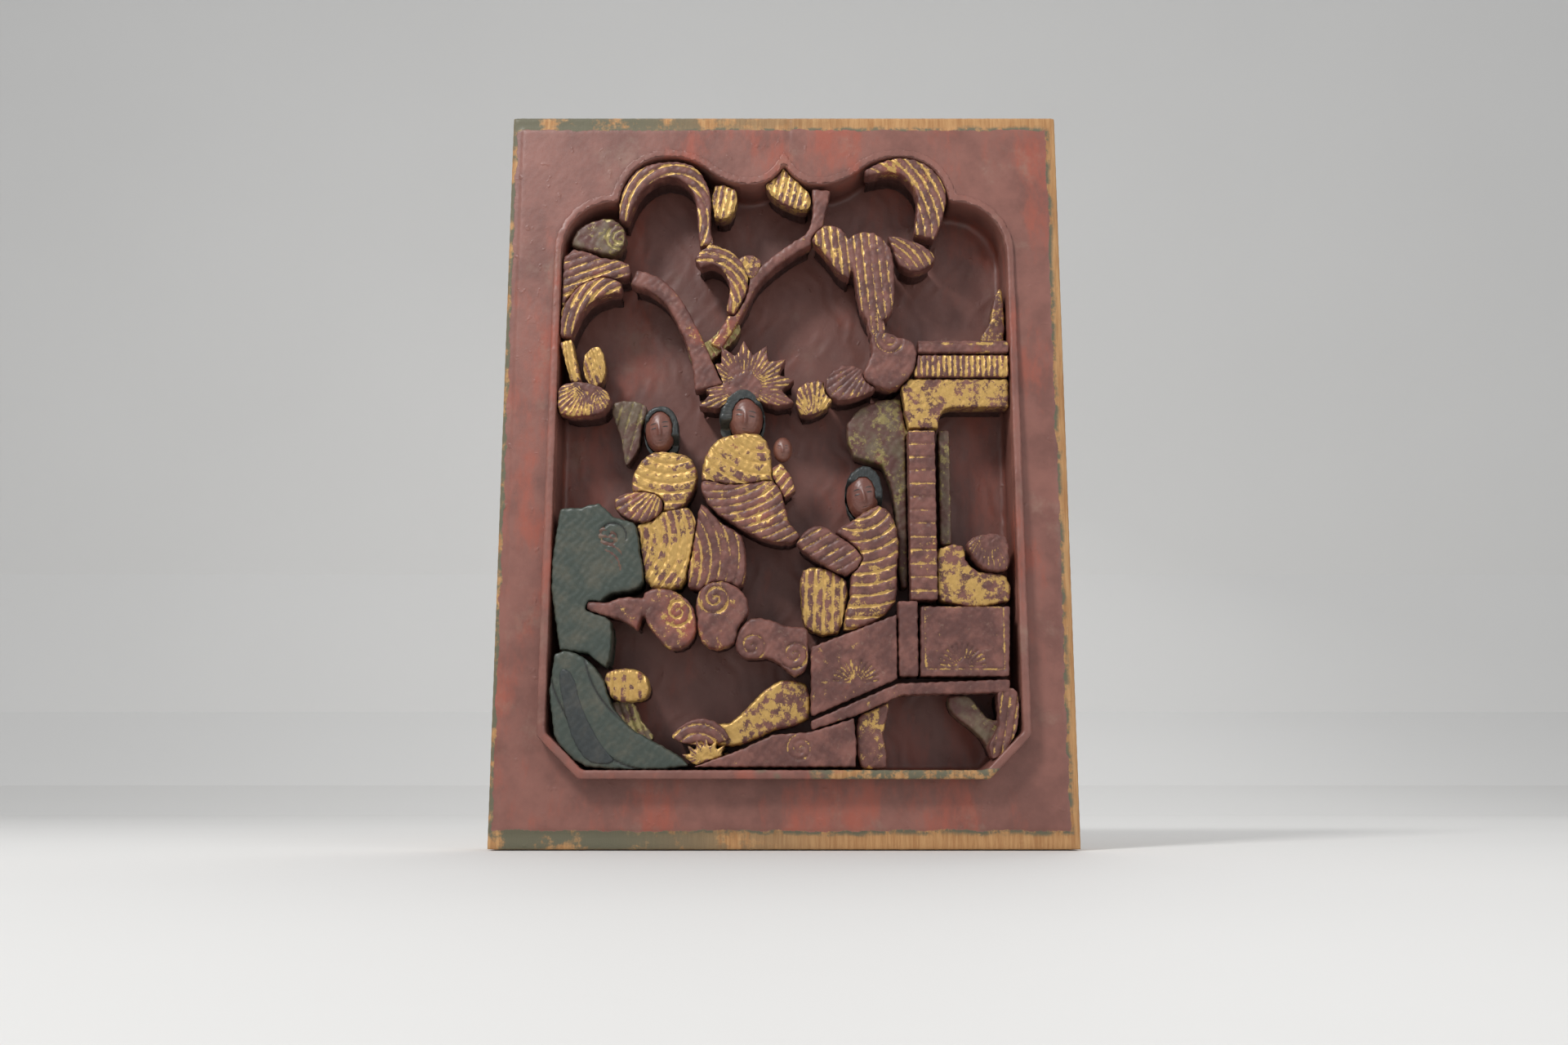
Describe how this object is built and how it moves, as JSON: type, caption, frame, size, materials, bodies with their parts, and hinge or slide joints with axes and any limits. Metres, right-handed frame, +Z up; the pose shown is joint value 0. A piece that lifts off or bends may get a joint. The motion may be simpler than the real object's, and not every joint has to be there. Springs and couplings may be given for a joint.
{
  "type": "carved panel",
  "caption": "Carved wooden relief panel, lacquered and gilded, with an arched niche holding a garden scene of figures, tree, pavilion and bridge.",
  "frame": {"origin": "middle of the bottom edge, half-way through the whole depth", "axes": "+Z up the panel, -Y out of the carved face, +X to the viewer's right"},
  "size_m": [0.22, 0.036, 0.291],
  "materials": {
    "border_lacquer": "worn maroon lacquer over wood, satin",
    "relief_lacquer": "maroon lacquer with gilt grooves, satin",
    "gold_leaf": "worn gold leaf over lacquer, semi-gloss",
    "tarnished_gilt": "dull greenish gilding, satin",
    "green_rock": "dark green grey paint, satin",
    "hair_paint": "blue grey paint, satin",
    "figure_skin": "glossy red brown lacquer"
  },
  "bodies": {
    "root": {"bank": "relief_lacquer", "board": "border_lacquer", "branch_right": "relief_lacquer", "bridge_bracket": "tarnished_gilt", "bridge_deck": "relief_lacquer", "bridge_pier": "gold_leaf", "cloud_left": "relief_lacquer", "cloud_middle": "relief_lacquer", "cloud_right": "relief_lacquer", "column": "relief_lacquer", "door_jamb": "tarnished_gilt", "door_lintel": "gold_leaf", "eave_scroll": "gold_leaf", "fan_left": "relief_lacquer", "frond_left": "gold_leaf", "frond_low": "gold_leaf", "frond_middle": "gold_leaf", "frond_right": "gold_leaf", "gilt_stub": "gold_leaf", "grass": "gold_leaf", "ground_mound": "gold_leaf", "hair_centre": "hair_paint", "hair_left": "hair_paint", "hair_right": "hair_paint", "halo_fan": "gold_leaf", "hanging_stem": "gold_leaf", "head_centre": "figure_skin", "head_left": "figure_skin", "head_right": "figure_skin", "infant_body": "relief_lacquer", "infant_head": "figure_skin", "leaf_crown": "relief_lacquer", "leaf_scroll": "tarnished_gilt", "leaf_top_centre": "gold_leaf", "leaf_top_left": "gold_leaf", "niche_rim": "border_lacquer", "railing_left": "relief_lacquer", "railing_post": "relief_lacquer", "railing_right": "relief_lacquer", "robe_centre": "gold_leaf", "robe_left": "gold_leaf", "robe_right": "gold_leaf", "rock_lower": "green_rock", "rock_slab": "tarnished_gilt", "rock_upper": "green_rock", "roof_ridge": "relief_lacquer", "roof_tiles": "gold_leaf", "shell_cushion": "relief_lacquer", "shell_leaf_left": "gold_leaf", "shell_leaf_middle": "gold_leaf", "shell_leaf_right": "relief_lacquer", "skirt_centre": "relief_lacquer", "skirt_left": "gold_leaf", "skirt_right": "gold_leaf", "sleeve_centre": "relief_lacquer", "sleeve_right": "relief_lacquer", "stool": "gold_leaf", "tree_trunk": "relief_lacquer", "tuft_long": "gold_leaf", "tuft_right": "gold_leaf"}
  },
  "joints": []
}
